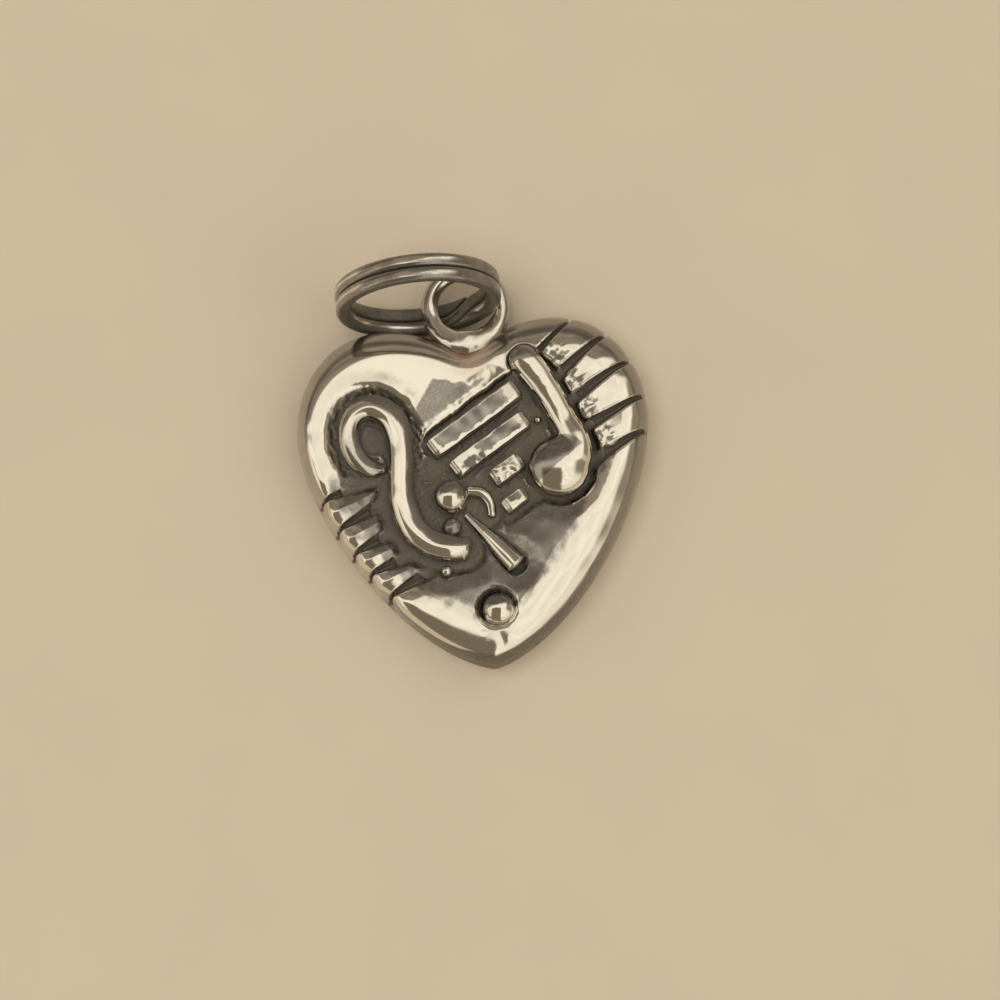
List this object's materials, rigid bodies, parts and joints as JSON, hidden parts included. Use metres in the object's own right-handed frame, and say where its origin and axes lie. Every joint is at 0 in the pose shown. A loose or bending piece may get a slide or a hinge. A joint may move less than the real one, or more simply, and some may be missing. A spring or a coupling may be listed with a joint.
{
  "type": "heart charm",
  "caption": "Puffed silver heart charm with a raised music motif of clef scroll, notes and staff, a soldered hanging loop in the notch and a loose split ring.",
  "frame": {"origin": "on the flat back face, in the middle of the heart", "axes": "+Z the way the front faces, +Y from the tip towards the hanging loop, +X to the right seen from the front"},
  "size_m": [0.0132, 0.0153, 0.0062],
  "materials": {
    "patinated_silver": "polished silver, dark patina in the trenches and grooves",
    "back_silver": "satin silver with fine wear scratches",
    "loop_silver": "bright silver wire with rough solder and a copper-coloured flush",
    "ring_silver": "polished wire, dark between its turns",
    "polished_silver": "polished silver, patina at the foot",
    "textured_silver": "bright silver with a rough hammered face"
  },
  "bodies": {
    "heart": {"heart_front": "patinated_silver", "heart_back": "back_silver", "hanging_loop": "loop_silver", "clef_scroll": "polished_silver", "large_note": "polished_silver", "small_note_head": "polished_silver", "small_note_flag": "polished_silver", "small_note_dot": "polished_silver", "small_note_stem": "polished_silver", "tip_bead": "polished_silver", "granule_1": "polished_silver", "granule_2": "polished_silver", "staff_bar_1": "textured_silver", "staff_bar_2": "textured_silver", "staff_bar_3": "textured_silver", "staff_bar_4": "textured_silver"},
    "ring": {"split_ring": "ring_silver"}
  },
  "joints": [
    {"name": "ring_swing", "type": "hinge", "parent": "heart", "child": "ring", "pos_m": [0.00015, 0.00695, 0.0014], "axis": [0, 0, -1], "range_deg": [0, 180]}
  ]
}
